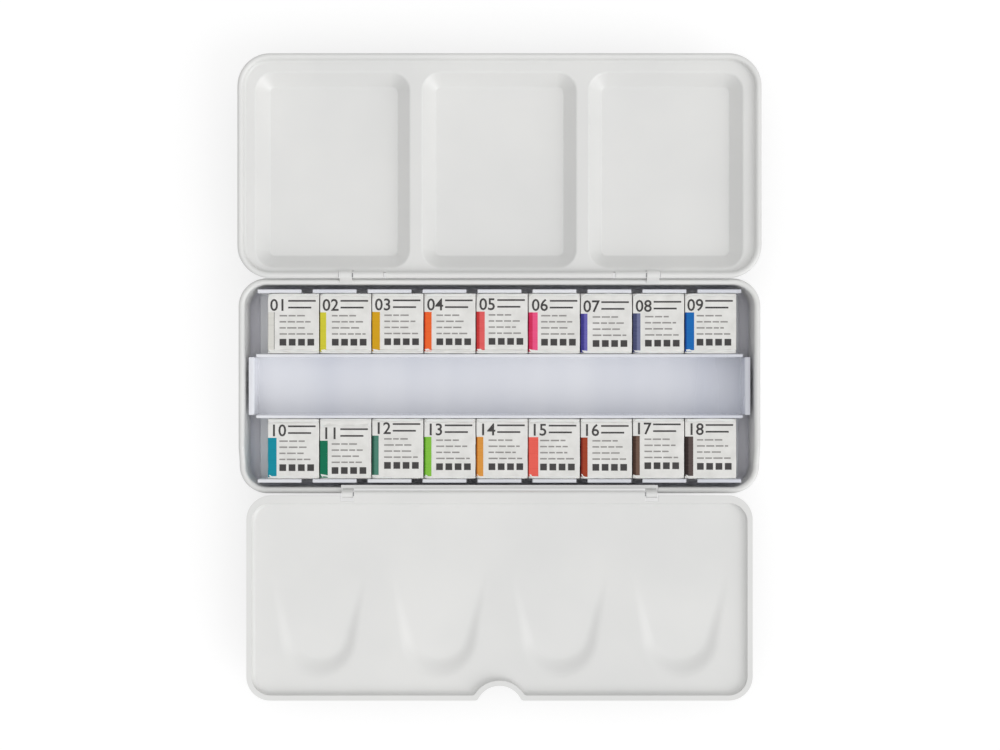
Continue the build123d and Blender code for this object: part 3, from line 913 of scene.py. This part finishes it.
class PAINTTIN_OT_wrappers(bpy.types.Operator):
    """Folds and prints a paper wrapper round each half pan"""

    bl_idname = "painttin.wrappers"
    bl_label = "Wrap the Half Pans"

    def execute(self, context):
        paper = context.scene.paper_finish
        ink = paper_material("Dark Ink", paper.ink, lit(paper.ink, 1.4), 3.0)
        pale = paper_material("Pale Ink", paper.pale_ink, lit(paper.pale_ink, 1.2), 5.0)
        for number, (name, colour, width, slip, shade_width) in enumerate(BACK_ROW + FRONT_ROW, start=1):
            form = WrapperForm(number, width, slip, name, paper)
            skin = linked_object(f"paper_{name}", form.paper_mesh())
            blank = paper_material(f"Paper {name}", paper.paper, paper.paper_shade, number * 0.37)
            edge = form.middle.x - form.half.x
            # Painted shade on the strip's turned edge, that wide from the left; with a width of
            # nought it falls outside the strip
            strip = strip_material(name, colour, edge + shade_width * MM if shade_width else edge - MM)
            skin.data.materials.append(blank)
            skin.data.materials.append(strip)
            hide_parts(f"wrapper_{name}")
            ride_on(skin, f"pan_{name}")
            label = linked_object(f"print_{name}", form.print_mesh())
            label.data.materials.append(ink)
            label.data.materials.append(pale)
            ride_on(label, f"pan_{name}")
        return {"FINISHED"}


class PAINTTIN_OT_stage(bpy.types.Operator):
    """Lays the floor and sets the lights and the camera"""

    bl_idname = "painttin.stage"
    bl_label = "Set the Stage"

    def execute(self, context):
        studio = context.scene.studio_settings
        lay_floor()
        light_studio(studio)
        place_camera(studio)
        context.scene.view_settings.view_transform = "Standard"
        return {"FINISHED"}


# Stage
def lay_floor():
    """A wide pale floor that reads white but keeps the tin's shadow."""
    bpy.ops.mesh.primitive_plane_add(size=6.0, location=(0, 0, -0.02 * MM))
    floor = bpy.context.object
    floor.name = "floor"
    material, nodes, links = new_material("Pale Floor")
    shader = nodes["Principled BSDF"]
    shader.inputs["Base Color"].default_value = (0.38, 0.38, 0.38, 1)
    shader.inputs["Roughness"].default_value = 0.9
    shader.inputs["Specular IOR Level"].default_value = 0.0
    glow = node(nodes, "ShaderNodeEmission", Strength=0.69)
    rays = nodes.new("ShaderNodeLightPath")
    both = nodes.new("ShaderNodeAddShader")
    choose = nodes.new("ShaderNodeMixShader")
    links.new(shader.outputs[0], both.inputs[0])
    links.new(glow.outputs[0], both.inputs[1])
    seen = node(nodes, "ShaderNodeMath", operation="MAXIMUM")
    links.new(rays.outputs["Is Camera Ray"], seen.inputs[0])
    links.new(rays.outputs["Is Glossy Ray"], seen.inputs[1])
    links.new(seen.outputs[0], choose.inputs["Fac"])
    links.new(shader.outputs[0], choose.inputs[1])
    links.new(both.outputs[0], choose.inputs[2])
    links.new(choose.outputs[0], nodes["Material Output"].inputs["Surface"])
    dress(floor, material)


def light_studio(studio):
    """A soft dome all round and one broad key light, low from the right and the front."""
    world = bpy.data.worlds.new("Studio")
    bpy.context.scene.world = world
    world.use_nodes = True
    nodes, links = world.node_tree.nodes, world.node_tree.links
    hood_tilt, hood_core, hood_rim = radians(4), radians(4), radians(11)
    key_spread, key_from = radians(50), Vector((0.72, -0.50, 0.48))
    dome = nodes["Background"]
    dome.inputs["Color"].default_value = (1, 1, 1, 1)
    direction = nodes.new("ShaderNodeTexCoord")
    axes = nodes.new("ShaderNodeSeparateXYZ")
    height = node(
        nodes, "ShaderNodeMapRange", interpolation_type="SMOOTHSTEP", From_Min=0.1, From_Max=0.85
    )
    height.inputs["To Min"].default_value = studio.dome * studio.horizon
    height.inputs["To Max"].default_value = studio.dome
    links.new(direction.outputs["Generated"], axes.inputs[0])
    links.new(axes.outputs["Z"], height.inputs["Value"])
    overhead = node(nodes, "ShaderNodeVectorMath", operation="DOT_PRODUCT")
    overhead.inputs[1].default_value = Vector((0, sin(hood_tilt), cos(hood_tilt)))
    hood = node(nodes, "ShaderNodeMapRange", interpolation_type="SMOOTHSTEP")
    hood.inputs["From Min"].default_value = cos(hood_rim)
    hood.inputs["From Max"].default_value = cos(hood_core)
    hood.inputs["To Min"].default_value = 1.0
    hood.inputs["To Max"].default_value = 1 - studio.hood
    strength = node(nodes, "ShaderNodeMath", operation="MULTIPLY")
    links.new(direction.outputs["Generated"], overhead.inputs[0])
    links.new(overhead.outputs["Value"], hood.inputs["Value"])
    links.new(height.outputs["Result"], strength.inputs[0])
    links.new(hood.outputs["Result"], strength.inputs[1])
    links.new(strength.outputs[0], dome.inputs["Strength"])
    backdrop = node(nodes, "ShaderNodeBackground", Strength=1.0)
    rays = nodes.new("ShaderNodeLightPath")
    choose = nodes.new("ShaderNodeMixShader")
    links.new(rays.outputs["Is Camera Ray"], choose.inputs["Fac"])
    links.new(dome.outputs[0], choose.inputs[1])
    links.new(backdrop.outputs[0], choose.inputs[2])
    links.new(choose.outputs[0], nodes["World Output"].inputs["Surface"])
    key = bpy.data.lights.new("Key Light", "SUN")
    key.energy = studio.key
    key.angle = key_spread
    lamp = linked_object("key_light", key)
    lamp.rotation_euler = key_from.to_track_quat("Z", "Y").to_euler()


def place_camera(studio):
    """Straight above the tin, at the photograph's scale over the tin's rim."""
    pixels_per_metre = 3220.0
    frame_width = 1000
    tabs_over_rim = 2.4 * MM
    rim_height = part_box("base_tin")[1].z - tabs_over_rim
    middle_x, middle_y = 0.16 * MM, 0.7 * MM
    camera = bpy.data.cameras.new("Camera")
    camera.sensor_width = 36.0
    camera.lens = (
        pixels_per_metre * studio.camera_height * camera.sensor_width / frame_width
    )
    camera.clip_start = 0.01
    camera.clip_end = 20.0
    seen_from = linked_object("camera", camera)
    seen_from.location = (middle_x, middle_y, rim_height + studio.camera_height)
    bpy.context.scene.camera = seen_from


class PAINTTIN_PT_panel(bpy.types.Panel):
    """Lists the steps that dress the paint tin"""

    bl_label = "Paint Tin"
    bl_idname = "PAINTTIN_PT_panel"
    bl_space_type = "VIEW_3D"
    bl_region_type = "UI"
    bl_category = "Paint Tin"

    def draw(self, context):
        for step in STEPS:
            self.layout.operator(step.bl_idname)
        scene = context.scene
        groups = (scene.tin_finish, scene.paper_finish, scene.thumb_wells, scene.studio_settings)
        for group in groups:
            for name in group.bl_rna.properties.keys():
                if name not in {"rna_type", "name"}:
                    self.layout.prop(group, name)


STEPS = (
    PAINTTIN_OT_stage,
    PAINTTIN_OT_enamel,
    PAINTTIN_OT_wires,
    PAINTTIN_OT_holder,
    PAINTTIN_OT_pans,
    PAINTTIN_OT_wrappers,
)
GROUPS = (TinFinish, PaperFinish, ThumbWellSizes, StudioSettings)


def register():
    for made in (*GROUPS, *STEPS, PAINTTIN_PT_panel):
        bpy.utils.register_class(made)
    bpy.types.Scene.tin_finish = PointerProperty(type=TinFinish)
    bpy.types.Scene.paper_finish = PointerProperty(type=PaperFinish)
    bpy.types.Scene.thumb_wells = PointerProperty(type=ThumbWellSizes)
    bpy.types.Scene.studio_settings = PointerProperty(type=StudioSettings)


def unregister():
    del bpy.types.Scene.studio_settings
    del bpy.types.Scene.thumb_wells
    del bpy.types.Scene.paper_finish
    del bpy.types.Scene.tin_finish
    for made in reversed((*GROUPS, *STEPS, PAINTTIN_PT_panel)):
        bpy.utils.unregister_class(made)


def main():
    """Dresses the tin step by step."""
    register()
    for step in STEPS:
        group, name = step.bl_idname.split(".")
        getattr(getattr(bpy.ops, group), name)()


if __name__ == "__main__":
    main()
